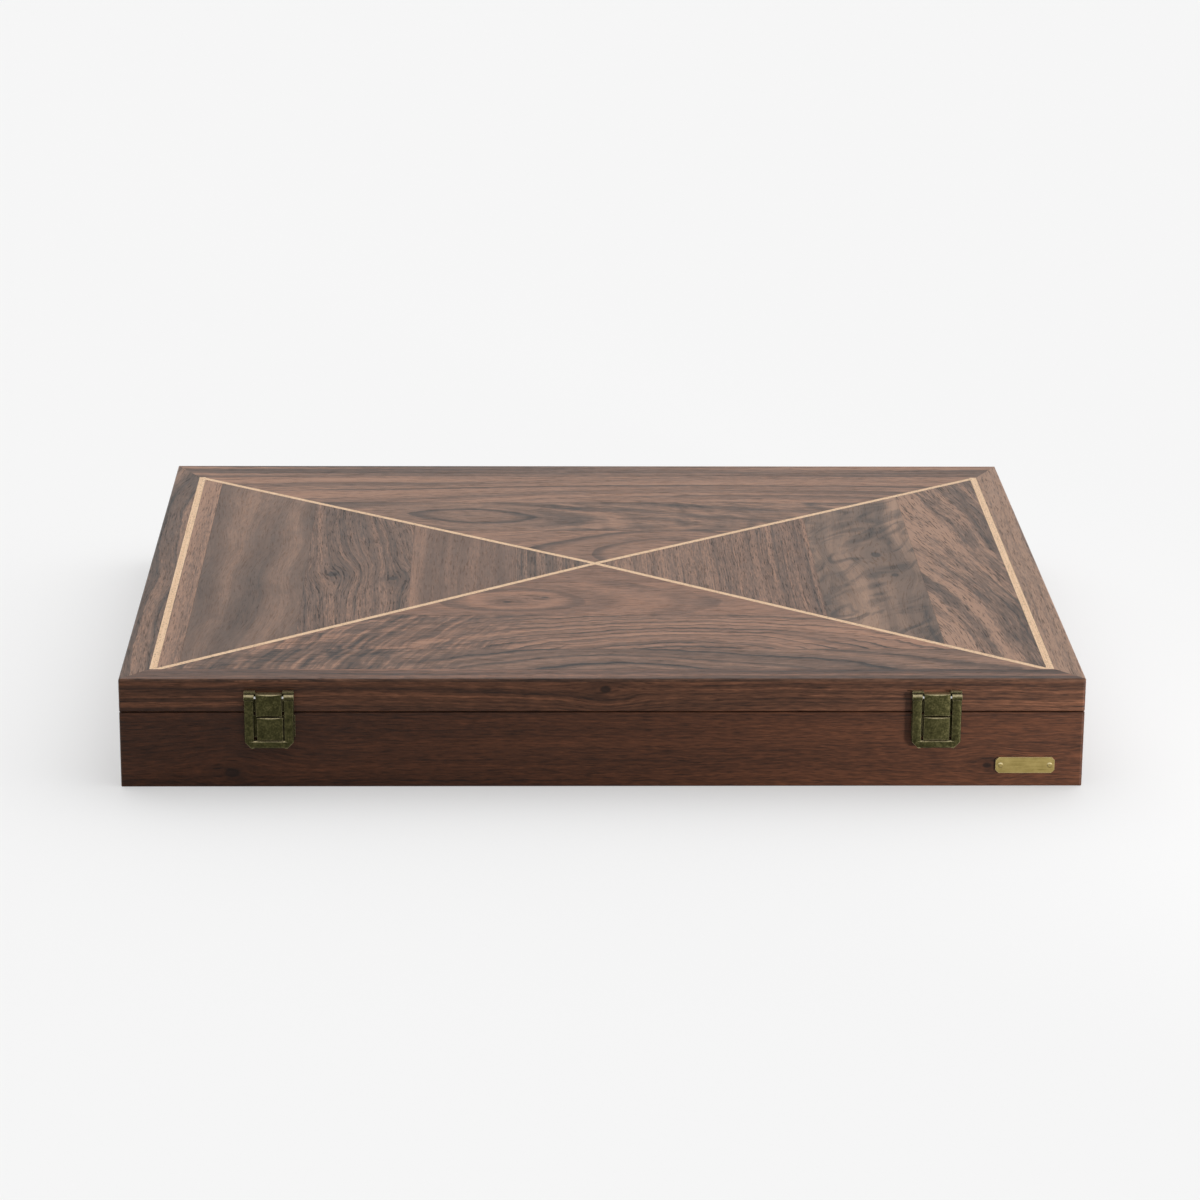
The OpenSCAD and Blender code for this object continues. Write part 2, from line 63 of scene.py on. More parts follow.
class Value:
    """A number that a material works out at each point. Arithmetic on values adds math nodes."""

    def __init__(self, nodes, socket):
        self.nodes = nodes
        self.socket = socket

    def _do(self, operation, *others, clamp=False):
        return self.nodes.math(operation, self, *others, clamp=clamp)

    def __add__(self, other):
        return self._do("ADD", other)

    def __radd__(self, other):
        return self._do("ADD", other)

    def __sub__(self, other):
        return self._do("SUBTRACT", other)

    def __rsub__(self, other):
        return self.nodes.math("SUBTRACT", other, self)

    def __mul__(self, other):
        return self._do("MULTIPLY", other)

    def __rmul__(self, other):
        return self._do("MULTIPLY", other)

    def __truediv__(self, other):
        return self._do("DIVIDE", other)

    def abs(self):
        return self._do("ABSOLUTE")

    def floor(self):
        return self._do("FLOOR")

    def fraction(self):
        return self._do("FRACT")

    def root(self):
        return self._do("SQRT")

    def square(self):
        return self * self

    def fall(self):
        """1 at zero, and smaller and smaller as the value grows."""
        return self.nodes.math("EXPONENT", self * -1.0)

    def clamp(self):
        return self._do("ADD", 0.0, clamp=True)

    def step(self, start, end):
        """0 before start, 1 after end and smooth between; start may be the larger one."""
        node = self.nodes.add("ShaderNodeMapRange", interpolation_type="SMOOTHSTEP")
        self.nodes.set(node.inputs["Value"], self)
        self.nodes.set(node.inputs["From Min"], min(start, end))
        self.nodes.set(node.inputs["From Max"], max(start, end))
        self.nodes.set(node.inputs["To Min"], 0.0 if start < end else 1.0)
        self.nodes.set(node.inputs["To Max"], 1.0 if start < end else 0.0)
        return Value(self.nodes, node.outputs["Result"])

    def between(self, start, end, soft):
        """1 from start to end, fading to 0 over soft on both sides."""
        return ((self - start) / soft + 0.5).clamp() * ((end - self) / soft + 0.5).clamp()


class Nodes:
    """Adds nodes to one node tree."""

    def __init__(self, tree):
        self.tree = tree

    def add(self, kind, **settings):
        node = self.tree.nodes.new(kind)
        for key, setting in settings.items():
            setattr(node, key, setting)
        return node

    def set(self, socket, given):
        if isinstance(given, Value):
            self.tree.links.new(given.socket, socket)
        elif isinstance(given, bpy.types.NodeSocket):
            self.tree.links.new(given, socket)
        else:
            socket.default_value = given

    def math(self, operation, *terms, clamp=False):
        node = self.add("ShaderNodeMath", operation=operation, use_clamp=clamp)
        for socket, term in zip(node.inputs, terms):
            self.set(socket, term)
        return Value(self, node.outputs[0])

    def split(self, vector):
        node = self.add("ShaderNodeSeparateXYZ")
        self.set(node.inputs[0], vector)
        return [Value(self, out) for out in node.outputs]

    def place(self):
        """The point in the object's own frame, in millimetres, as three values."""
        return [part / MM for part in self.split(self.add("ShaderNodeTexCoord").outputs["Object"])]

    def vector(self, x, y, z):
        node = self.add("ShaderNodeCombineXYZ")
        for socket, part in zip(node.inputs, (x, y, z)):
            self.set(socket, part)
        return node.outputs[0]

    def noise(self, figure, place, lot=0.0):
        """A figure at a place of two or three values. Each lot has a noise of its own."""
        parts = [part / span for part, span in zip(place, figure.size)]
        x, y, z = parts + [0.0] * (3 - len(parts))
        node = self.add("ShaderNodeTexNoise", noise_dimensions="3D")
        self.set(node.inputs["Vector"], self.vector(x, y, z + (lot + figure.lot)))
        self.set(node.inputs["Scale"], 1.0)
        self.set(node.inputs["Detail"], figure.detail)
        self.set(node.inputs["Roughness"], figure.roughness)
        self.set(node.inputs["Distortion"], figure.distortion)
        strength = Value(self, node.outputs[0])
        return strength.step(*figure.rise) if figure.rise else strength

    def random(self, number):
        node = self.add("ShaderNodeTexWhiteNoise", noise_dimensions="1D")
        self.set(node.inputs["W"], number)
        return Value(self, node.outputs["Value"])

    def ramp(self, value, stops):
        """Colour that runs through stops, each (place, (red, green, blue))."""
        node = self.add("ShaderNodeValToRGB")
        elements = node.color_ramp.elements
        while len(elements) < len(stops):
            elements.new(0.5)
        for element, (place, colour) in zip(elements, stops):
            element.position = place
            element.color = (*colour, 1.0)
        self.set(node.inputs["Fac"], value)
        return node.outputs["Color"]

    def choose(self, index, rows):
        """Row number index of rows; each row is three numbers, returned as three values."""
        low = [min(column) for column in zip(*rows)]
        span = [max(max(column) - least, 1e-6) for column, least in zip(zip(*rows), low)]
        node = self.add("ShaderNodeValToRGB")
        node.color_ramp.interpolation = "CONSTANT"
        elements = node.color_ramp.elements
        while len(elements) < len(rows):
            elements.new(0.5)
        while len(elements) > len(rows):
            elements.remove(elements[-1])
        for number, row in enumerate(rows):
            elements[number].position = number / len(rows)
            scaled = [(cell - least) / wide for cell, least, wide in zip(row, low, span)]
            elements[number].color = (*scaled, 1.0)
        self.set(node.inputs["Fac"], (index + 0.5) / len(rows))
        split = self.add("ShaderNodeSeparateColor")
        self.set(split.inputs[0], node.outputs["Color"])
        return [Value(self, out) * wide + least for out, wide, least in zip(split.outputs, span, low)]

    def mix(self, factor, first, second, blend="MIX"):
        """A colour from first at factor 0 to second at factor 1."""
        node = self.add("ShaderNodeMix", data_type="RGBA", blend_type=blend)
        self.set(node.inputs[0], factor)
        for socket, colour in ((node.inputs[6], first), (node.inputs[7], second)):
            self.set(socket, (*colour, 1.0) if isinstance(colour, tuple) else colour)
        return node.outputs[2]

    def shade(self, colour, brightness):
        """Colour times a value."""
        node = self.add("ShaderNodeVectorMath", operation="SCALE")
        self.set(node.inputs[0], colour)
        self.set(node.inputs["Scale"], brightness)
        return node.outputs[0]


class Material(Nodes):
    """A Principled material whose colour, roughness and bump are built from values."""

    def __init__(self, name):
        self.data = bpy.data.materials.new(name)
        self.data.use_nodes = True
        super().__init__(self.data.node_tree)
        self.shader = self.tree.nodes["Principled BSDF"]

    def bump(self, height, depth):
        """Raises the surface by height, from 0 to 1, times depth in metres."""
        node = self.add("ShaderNodeBump")
        self.set(node.inputs["Height"], height)
        self.set(node.inputs["Distance"], depth)
        self.set(self.shader.inputs["Normal"], node.outputs["Normal"])

    def finish(self, colour, roughness, metallic=0.0, ior=1.45, specular=0.5, sheen=0.0):
        self.set(self.shader.inputs["Base Color"], colour)
        self.set(self.shader.inputs["Roughness"], roughness)
        self.shader.inputs["Metallic"].default_value = metallic
        self.shader.inputs["IOR"].default_value = ior
        self.shader.inputs["Specular IOR Level"].default_value = specular
        self.shader.inputs["Sheen Weight"].default_value = sheen
        return self.data


def paint(node, material):
    """Gives a CAD node its finish."""
    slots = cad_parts[node].data.materials
    slots.clear()
    slots.append(material)


# ---------------------------------------------------------------- walnut

# Directions of a board's grain, width and thickness, as places in (x, y, z)
LYING_X = (0, 1, 2)
LYING_Y = (1, 0, 2)
STANDING_X = (0, 2, 1)
STANDING_Y = (1, 2, 0)

WALNUT_TONES = [
    (0.0, (0.022, 0.015, 0.012)),
    (0.3, (0.076, 0.048, 0.033)),
    (0.6, (0.146, 0.090, 0.060)),
    (1.0, (0.320, 0.195, 0.126)),
]
WALNUT_RED = (1.0, 0.59, 0.42)  # what red-brown wood keeps of a tone
RED_SHARE = 0.6                 # how much of that a board with red=1 gets

# Figures along the grain and across it, in millimetres as all figures are
STRAY = Figure((110.0, 60.0), detail=1.0)
RIPPLE = Figure((15.0, 15.0), lot=5.0, detail=3.0, roughness=0.6)
FADE = Figure((80.0, 30.0), lot=11.0, detail=1.0, rise=(0.25, 0.5))
GLOSS = Figure((30.0, 6.0), lot=31.0)
# Figures across the rings and along the grain. Layers count in layer widths across the rings, and
# smoke also goes across the grain.
LAYERS = Figure((1.0, 260.0), lot=17.0, detail=3.0)
FLAMES = Figure((3.8, 28.0), lot=23.0, detail=3.0, roughness=0.65)
SMOKE = Figure((16.0, 30.0, 24.0), detail=3.0, distortion=1.6, rise=(0.40, 0.80))
# Fine figures along the grain, across it and through the board
PINS = Figure((130.0, 0.6, 0.6), rise=(0.48, 0.70))
PORES = Figure((7.0, 0.42, 0.42), detail=1.0, rise=(0.57, 0.68))
FIBRES = Figure((10.0, 1.0, 1.0), roughness=0.9)

# How much each figure changes the tone
LAYER_TONE, FLAME_TONE, FIBRE_TONE = 1.8, 2.2, 1.15
EDGE_TONE, SHADE_TONE, SMOKE_TONE, PIN_TONE = 0.75, 0.2, 0.45, 0.33

BOARD_LOT = 37.0       # sets the figures of a fan's boards apart
STRAY_SIDEWAYS = 2.5   # how far the grain strays across, for each millimetre that it strays in depth
PEAK_ROUNDING = 0.02   # rounds the place where a board's rings come nearest to the surface
LINE_RIPPLE = 6.0      # over how many millimetres ripples move a ring, where line is 1
RING_EDGE = (0.70, 0.93, 0.975, 1.0)  # where a ring's dark edge starts, is full, fades and ends
WEAKEST_RING = 0.3     # strength of the weakest ring, the strongest being 1
WILD_FADE = 40.0       # over how many millimetres flames and smoke fade out

KNOT_WIDTH = 0.6       # width of a knot across the grain, as a share of its length
KNOT_REACH = 5.0       # radii to where a knot's halo and its bend of the grain end
KNOT_CORE, HALO_CORE = 0.3, 0.5  # radii to where the knot and its halo are darkest
KNOT_SWELL = 0.7       # how strongly the grain spreads round a knot, 1 being most
KNOT_DARKNESS, HALO_SHARE = 0.8, 0.35

OIL_IOR = 1.33
OIL_SPECULAR = 0.40
OIL_ROUGHNESS, OIL_SPREAD = 0.34, 0.12
WOOD_RELIEF = 0.03 * MM
FIBRE_HEIGHT, PORE_DEPTH, EDGE_DEPTH = 0.3, 0.7, 0.15  # shares of that


class Board(NamedTuple):
    """How one board was cut from its log. Lengths and places are in millimetres."""

    tone: float = 0.5      # 0 is dark, 1 is pale
    red: float = 0.5       # 0 is grey-brown, 1 is red-brown
    pith: float = 60.0     # where across the case the rings' axis is
    depth: float = 8.0     # how far under the surface the axis is at its peak
    peak: float = 0.0      # place along the grain where the axis comes nearest to the surface
    hill: float = 0.0      # how much deeper the axis is, far from the peak
    length: float = 100.0  # how far from the peak the axis has sunk by two thirds of that
    lean: float = 0.0      # how far the grain runs across, for each millimetre along
    wander: float = 3.0    # how far the grain strays
    ring: float = 6.0      # width of a ring
    line: float = 0.4      # how dark the edges of the rings are
    layer: float = 6.0     # width of the broad tones
    streak: float = 0.7    # how much the broad tones differ
    pin: float = 0.3       # how dark the fine straight lines are
    fibre: float = 0.95    # how strong the fine mottle of the fibres is
    pore: float = 0.45     # how dark the pores are
    flame: float = 0.0     # how strong the short light and dark flames are
    smoke: float = 0.0     # how dark the smoky patches are
    slant: float = 0.0     # how far flames and smoke run across, for each millimetre along
    wild_from: float = -200.0  # flames and smoke start here along the grain
    wild_to: float = 200.0     # and end here


def board_values(m, index, boards):
    """A board whose fields are values that change with the board's number. One board stays as it is."""
    if len(boards) == 1:
        return boards[0]
    columns = list(zip(*boards))
    values = []
    for start in range(0, len(columns), 3):
        values += m.choose(index, list(zip(*columns[start:start + 3])))
    return Board(*values)


def bend_round_knots(m, index, along, across, knots):
    """Moves the grain aside round each knot, and works out how dark the knots are."""
    dark = 0.0
    for board, knot_along, knot_across, radius in knots:
        own = m.math("COMPARE", index, board, 0.5)
        run, offset = along - knot_along, across - knot_across
        distance = ((run * KNOT_WIDTH).square() + offset.square()).root()
        reach = radius * KNOT_REACH
        across = across - offset * (distance / reach).square().fall() * own * KNOT_SWELL
        core = distance.step(radius, radius * KNOT_CORE)
        halo = distance.step(reach, radius * HALO_CORE)
        dark = (core + halo * HALO_SHARE) * own + dark
    return across, m.math("MINIMUM", dark, 1.0)


def ring_radius(m, b, along, across, side, stray, lot):
    """How far a point is from the axis of its board's rings. It is side away from the axis across."""
    reach = (((along - b.peak) / b.length).square() + PEAK_ROUNDING).root()
    under = b.depth + b.hill - reach.fall() * b.hill + stray * b.wander
    ripple = m.noise(RIPPLE, (along, across), lot) - 0.5
    return (side.square() + under.square()).root() + ripple * b.line * LINE_RIPPLE


def ring_lines(m, b, radius, lot):
    """The dark edge of each ring, and the tone that deepens towards it. Rings differ in strength."""
    turns = radius / b.ring
    part = turns.fraction()
    strength = m.random(turns.floor() + lot) * (1.0 - WEAKEST_RING) + WEAKEST_RING
    start, full, fading, end = RING_EDGE
    edge = part.step(start, full) * part.step(end, fading)
    return edge * strength, part.square() * strength


def walnut(name, axes, boards, board_number=None, seed=0.0, knots=()):
    """Walnut with rings round each board's own axis, broad tones, fine lines, pores and knots.

    board_number works out a board's number from the place; knots are (board, along, across, radius).
    """
    m = Material(name)
    place = m.place()
    along, across, through = (place[axis] for axis in axes)
    index = board_number(m, place) if board_number else 0.0
    b = board_values(m, index, boards)
    lot = index * BOARD_LOT + seed
    across, knot_dark = bend_round_knots(m, index, along, across, knots)

    stray = m.noise(STRAY, (along, across), lot) - 0.5
    flow = across + along * b.lean + stray * b.wander * STRAY_SIDEWAYS
    radius = ring_radius(m, b, along, across, flow - b.pith, stray, lot)
    wild = along.between(b.wild_from, b.wild_to, WILD_FADE)
    edge, shade = ring_lines(m, b, radius, lot)
    edge = edge * m.noise(FADE, (along, across), lot) * (1.0 - wild * b.flame)

    drift = radius - along * b.slant
    layer = m.noise(LAYERS, (radius / b.layer, along), lot) - 0.5
    flame = (m.noise(FLAMES, (drift, along), lot) - 0.5) * b.flame * wild
    smoke = m.noise(SMOKE, (drift, along, across), lot) * b.smoke * wild
    pins = m.noise(PINS, (along, flow, through), lot) * b.pin
    pores = m.noise(PORES, (along, flow, through), lot)
    fibre = m.noise(FIBRES, (along, flow, through)) - 0.5

    tone = layer * b.streak * LAYER_TONE + flame * FLAME_TONE + fibre * b.fibre * FIBRE_TONE + b.tone
    tone = tone - (edge * EDGE_TONE + shade * SHADE_TONE) * b.line - smoke * SMOKE_TONE - pins * PIN_TONE
    colour = m.ramp(tone.clamp(), WALNUT_TONES)
    colour = m.mix(b.red * RED_SHARE, colour, m.mix(1.0, colour, WALNUT_RED, blend="MULTIPLY"))
    colour = m.shade(colour, (1.0 - pores * b.pore) * (1.0 - knot_dark * KNOT_DARKNESS))
    roughness = (m.noise(GLOSS, (along, across), lot) + pores) * OIL_SPREAD + OIL_ROUGHNESS
    m.bump(fibre * FIBRE_HEIGHT - pores * PORE_DEPTH - edge * EDGE_DEPTH, WOOD_RELIEF)
    return m.finish(colour, roughness=roughness, ior=OIL_IOR, specular=OIL_SPECULAR)


# ---------------------------------------------------------------- the case's boards

# Glue lines between the boards of the lid's field, counted from the lid's middle
FIRST_JOINT = {"front": 28.0, "right": 51.0, "back": 50.0, "left": 35.0}
BOARD_WIDTH = 45.7

FRONT_FAN = [
    Board(tone=0.72, red=0.85, pith=-10, depth=30, ring=12, line=0.1, layer=10, streak=0.5, pin=0.2),
    Board(tone=0.80, red=0.80, pith=-53, depth=0, peak=-36, hill=70, length=110, wander=8, ring=20,
          line=0.7, layer=9, streak=0.6, pin=0.1),
    Board(tone=0.82, red=0.70, pith=-135, depth=0, peak=30, hill=110, length=200, wander=5, ring=4.6,
          line=1.0, layer=6, streak=1.0, flame=0.9, smoke=1.0, slant=1.1, wild_from=-150, wild_to=-45),
    Board(tone=0.63, red=0.60, pith=-160, depth=3, peak=10, hill=90, length=200, wander=5, ring=9,
          line=0.7, flame=1.0, smoke=1.1, slant=1.1, wild_from=-190, wild_to=-65),
]
RIGHT_FAN = [
    Board(tone=0.75, red=0.50, pith=260, wander=1, ring=3, line=0.2, layer=4, streak=0.4, pin=0.5),
    Board(tone=0.69, red=0.55, pith=-160, wander=1.5, ring=3.4, line=0.2, layer=5, streak=0.7, pin=0.8,
          pore=0.6),
    Board(tone=0.73, red=0.10, pith=220, wander=20, ring=14, line=0.1, layer=14, streak=1.0, pin=0.1,
          fibre=0.15, pore=0.1, smoke=1.3, slant=-0.7),
    Board(tone=0.80, red=0.35, pith=60, depth=40, lean=0.18, wander=7, ring=6, line=0.7, layer=9,
          streak=1.4, pin=0.4, pore=0.65, flame=0.6),
]
BACK_FAN = [
    Board(tone=0.80, red=0.65, pith=12, depth=2, peak=36, hill=70, length=90, wander=8, ring=13, line=0.5,
          layer=8, streak=0.6, pin=0.15),
    Board(tone=0.68, red=0.50, pith=67.5, depth=0, peak=-54, hill=24, length=38, lean=0.12, wander=4,
          ring=13, line=0.6, layer=8, streak=0.8, pin=0.1, flame=0.7, smoke=1.1, wild_from=-25,
          wild_to=150),
    Board(tone=0.81, red=0.60, pith=92, depth=0, peak=60, hill=60, length=400, ring=8.5, line=0.45,
          layer=5, streak=0.8, pin=0.2),
]
LEFT_FAN = [
    Board(tone=0.58, red=0.40, pith=90, wander=1, ring=3, line=0.3, layer=4, pin=0.9),
    Board(tone=0.61, red=0.55, pith=60, wander=3, ring=8, line=0.15, layer=9, streak=0.6, pin=0.2,
          fibre=0.5, pore=0.2),
    Board(tone=0.62, red=0.50, pith=-240, lean=0.06, wander=5, ring=4.5, line=0.25, layer=5, streak=0.5,
          pin=0.8, pore=0.55),
    Board(tone=0.58, red=0.35, pith=-60, depth=20, wander=14, ring=11, line=0.1, layer=12, streak=0.6,
          pin=0.1, fibre=0.45, pore=0.1, smoke=0.2),
    Board(tone=0.86, red=0.45, pith=-40, wander=1, ring=3, line=0.2, streak=0.4, pin=0.3),
]
# Each fan's grain, the axis and sign along which its boards are counted, its boards and its knots
FANS = {
    "front": (LYING_X, 1, -1.0, FRONT_FAN, [(1, -38.7, -56.0, 1.6), (1, -22.5, -50.0, 1.4)]),
    "right": (LYING_Y, 0, 1.0, RIGHT_FAN, [(2, 13.0, 125.0, 3.0), (2, -17.0, 130.0, 2.0)]),
    "back": (LYING_X, 1, 1.0, BACK_FAN, []),
    "left": (LYING_Y, 0, -1.0, LEFT_FAN, [(2, -15.7, -114.5, 2.8), (2, -22.0, -88.7, 2.4)]),
}
BANDS = {
    "front": (LYING_X, Board(tone=0.60, red=1.0, pith=-60, ring=4, line=0.4, layer=4, streak=1.1, pin=0.6)),
    "right": (LYING_Y, Board(tone=0.90, red=0.2, pith=290, ring=5, line=0.3, streak=0.5)),
    "back": (LYING_X, Board(tone=0.68, red=0.6, pith=260, wander=2, ring=5, line=0.5, streak=1.2)),
    "left": (LYING_Y, Board(tone=0.56, red=0.4, pith=-260, wander=8, ring=7, line=0.4, layer=9,
                            streak=0.9)),
}
LID_WALL = Board(tone=0.50, red=1.3, pith=90, depth=20, ring=4, line=0.2, streak=0.9, layer=1.8, pin=0.4)
BASE_WALL = Board(tone=0.37, red=1.7, pith=-40, depth=10, ring=4, line=0.1, streak=0.4, layer=7, pin=0.2)
DIVIDER = Board(tone=0.42, red=0.6, pith=80, depth=20, ring=4)
LID_FRONT_KNOTS = [(0, 0.8, 41.6, 1.8)]
BASE_FRONT_KNOTS = [(0, -150.0, 6.0, 2.6), (0, 156.0, 9.0, 1.5)]

# Seeds of the first piece of each group, and how far apart the seeds in a group are
FAN_SEED, FAN_SEED_STEP = 3.0, 211.0
BAND_SEED, BAND_SEED_STEP = 900.0, 53.0
LID_SEED, BASE_SEED, WALL_SEED_STEP = 1300.0, 1700.0, 71.0
LONG_DIVIDER_SEED, CROSS_DIVIDER_SEED = 2100.0, 2200.0

# The board, the first seed and the front wall's knots
WALLS = {
    "lid": (LID_WALL, LID_SEED, LID_FRONT_KNOTS),
    "base": (BASE_WALL, BASE_SEED, BASE_FRONT_KNOTS),
}


def fan_board_number(axis, sign, first_joint):
    """Numbers a fan's boards from the middle outward, along an axis and its sign."""

    def number(m, place):
        outward = place[axis] * sign
        return m.math("MAXIMUM", ((outward - first_joint) / BOARD_WIDTH).floor() + 1.0, 0.0)

    return number


def paint_lid_top():
    for number, (side, (axes, axis, sign, boards, knots)) in enumerate(FANS.items()):
        counted = fan_board_number(axis, sign, FIRST_JOINT[side])
        seed = FAN_SEED + number * FAN_SEED_STEP
        paint(f"{side}_fan_boards", walnut(f"walnut_{side}_fan", axes, boards, counted, seed, knots))
    for number, (side, (axes, board)) in enumerate(BANDS.items()):
        seed = BAND_SEED + number * BAND_SEED_STEP
        paint(f"band_{side}_strip", walnut(f"walnut_{side}_band", axes, [board], seed=seed))


def paint_walls():
    for number, side in enumerate(("front", "right", "back", "left")):
        axes = STANDING_X if side in ("front", "back") else STANDING_Y
        for part, (board, first_seed, front_knots) in WALLS.items():
            name, seed = f"walnut_{part}_{side}", first_seed + number * WALL_SEED_STEP
            knots = front_knots if side == "front" else ()
            paint(f"{part}_{side}_wall", walnut(name, axes, [board], seed=seed, knots=knots))


def paint_dividers():
    long_way = walnut("walnut_long_divider", STANDING_X, [DIVIDER], seed=LONG_DIVIDER_SEED)
    cross_way = walnut("walnut_cross_dividers", STANDING_Y, [DIVIDER], seed=CROSS_DIVIDER_SEED)
    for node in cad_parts:
        if "divider" in node:
            paint(node, long_way if node == "long_divider" else cross_way)


# ---------------------------------------------------------------- inlay and panels

MAPLE_GRAIN = Figure((40.0, 0.5, 0.5), detail=3.0)
MAPLE_FLECKS = Figure((0.9, 0.6, 0.6), detail=1.0, rise=(0.56, 0.66))
MAPLE_TONES = [(0.25, (0.57, 0.34, 0.18)), (0.5, (0.71, 0.47, 0.28)), (0.8, (0.81, 0.57, 0.36))]
FLECK_DARKNESS = 0.4
MAPLE_RELIEF = 0.01 * MM

BIRCH_GRAIN = Figure((90.0, 3.5, 3.5), detail=4.0, roughness=0.6)
BIRCH_PORES = Figure((6.0, 0.4, 0.4), detail=1.0, rise=(0.58, 0.72))
BIRCH_TONES = [(0.2, (0.33, 0.21, 0.12)), (0.55, (0.46, 0.31, 0.19)), (0.9, (0.58, 0.42, 0.27))]
BIRCH_PORE_DARKNESS = 0.25
PLY = 1.33                # thickness of a ply, in millimetres
GLUE_LINE = (0.40, 0.48)  # how far from a ply's middle its glue line starts and is full, in plies
GLUE_DARKNESS = 0.15


def maple(name, axes):
    m = Material(name)
    place = m.place()
    turned = [place[axis] for axis in axes]
    grain = m.noise(MAPLE_GRAIN, turned)
    flecks = m.noise(MAPLE_FLECKS, turned)
    colour = m.shade(m.ramp(grain, MAPLE_TONES), 1.0 - flecks * FLECK_DARKNESS)
    m.bump(grain, MAPLE_RELIEF)
    return m.finish(colour, roughness=0.42, ior=OIL_IOR)


def plywood():
    m = Material("birch_plywood")
    place = m.place()
    grain = m.noise(BIRCH_GRAIN, place)
    pores = m.noise(BIRCH_PORES, place)
    glue = ((place[2] / PLY).fraction() - 0.5).abs().step(*GLUE_LINE)
    colour = m.shade(m.ramp(grain, BIRCH_TONES), 1.0 - pores * BIRCH_PORE_DARKNESS - glue * GLUE_DARKNESS)
    m.bump(grain * 0.5 - pores, WOOD_RELIEF)
    return m.finish(colour, roughness=0.62, ior=OIL_IOR)


def paint_panels_and_inlay():
    plies = plywood()
    paint("bottom_panel", plies)
    paint("lid_core_panel", plies)
    lengthways, sideways = maple("maple_strips", LYING_Y), maple("maple_arms", LYING_X)
    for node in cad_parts:
        if node.startswith("inlay"):
            paint(node, lengthways if node.endswith("strip") else sideways)


# ---------------------------------------------------------------- metal

BRONZE_BLOTCHES = Figure((2.4, 2.4, 2.4), detail=4.0, roughness=0.6)
BRONZE_GRIME = Figure((0.7, 0.7, 0.7), detail=3.0)
PATINA = [(0.35, (0.021, 0.019, 0.006)), (0.50, (0.045, 0.042, 0.014)), (0.65, (0.100, 0.088, 0.036))]
# Bare bronze on rubbed edges, also the colour of the painted highlight on upper sides
WORN_AND_LIT_BRONZE = (0.95, 0.80, 0.47)
BRONZE_EDGE = 0.35 * MM   # radius over which an edge is rubbed
BRONZE_RUBBED = 0.3       # how bare its edges are rubbed
LATCH_TOP_HIGHLIGHT, HINGE_TOP_HIGHLIGHT = 0.45, 0.0  # how strong the painted highlight on the upper sides of each is
WORN_AND_LIT_SPOTS = (0.3, 0.55)  # grime up to which bare metal and painted highlight show by half, and from which in full
BRONZE_RELIEF = 0.03 * MM

BRASS_BRUSHED = Figure((9.0, 0.25, 0.25), detail=3.0)
BRASS_TARNISH = Figure((4.0, 4.0, 4.0), detail=5.0, roughness=0.65)
BRASS_TONES = [(0.3, (0.20, 0.15, 0.045)), (0.7, (0.40, 0.31, 0.12))]
# Bare brass on rubbed edges, also the colour of the painted highlight on upper sides
WORN_AND_LIT_BRASS = (0.90, 0.78, 0.48)
BRASS_EDGE = 0.25 * MM
# How bare brass edges are rubbed, and how strong the painted highlight on upper sides is
BRASS_RUBBED, BRASS_TOP_HIGHLIGHT = 0.4, 0.8
BRASS_RELIEF = 0.01 * MM

STEEL_DRAWN = Figure((3.0, 0.15, 0.15))
STEEL_TONES = [(0.3, (0.50, 0.50, 0.49)), (0.7, (0.68, 0.68, 0.66))]
STEEL_RELIEF = 0.005 * MM

EDGE_TURN = (0.99, 0.86)   # cosine of the turn from face to rounded edge, where rubbing starts and is full
UPPER_SIDE = (0.15, 0.75)  # upward part of a normal, where the painted highlight on upper sides starts and is full


def worn_edges_and_lit_tops(m, radius):
    """How bare an edge is rubbed, and how far a surface faces up for the painted highlight, each from 0 to
    1.

    An edge is where a normal rounded over radius differs from the face's own.
    """
    bevel = m.add("ShaderNodeBevel", samples=6)
    m.set(bevel.inputs["Radius"], radius)
    dot = m.add("ShaderNodeVectorMath", operation="DOT_PRODUCT")
    m.set(dot.inputs[0], bevel.outputs["Normal"])
    m.set(dot.inputs[1], m.add("ShaderNodeNewGeometry").outputs["Normal"])
    turn = m.add("ShaderNodeVectorTransform", vector_type="NORMAL",
                 convert_from="WORLD", convert_to="OBJECT")
    m.set(turn.inputs[0], bevel.outputs["Normal"])
    upward = m.split(turn.outputs[0])[2]
    return Value(m, dot.outputs["Value"]).step(*EDGE_TURN), upward.step(*UPPER_SIDE)


def antique_bronze(name, top_highlight):
    """Dark olive patina, rubbed to bare metal a little on edges, and a painted highlight on upper sides."""
    m = Material(name)
    place = m.place()
    blotches = m.noise(BRONZE_BLOTCHES, place)
    grime = m.noise(BRONZE_GRIME, place)
    edge, upper = worn_edges_and_lit_tops(m, BRONZE_EDGE)
    # Bare metal on rubbed edges, and a painted highlight of light from above on upper sides
    worn_and_lit = m.math("MAXIMUM", edge * BRONZE_RUBBED, upper * top_highlight)
    worn_and_lit = worn_and_lit * (grime.step(*WORN_AND_LIT_SPOTS) * 0.5 + 0.5)
    colour = m.mix(worn_and_lit, m.ramp((blotches + grime) * 0.5, PATINA), WORN_AND_LIT_BRONZE)
    m.bump(grime, BRONZE_RELIEF)
    return m.finish(colour, roughness=0.40 - worn_and_lit * 0.12 + grime * 0.10, metallic=0.9)


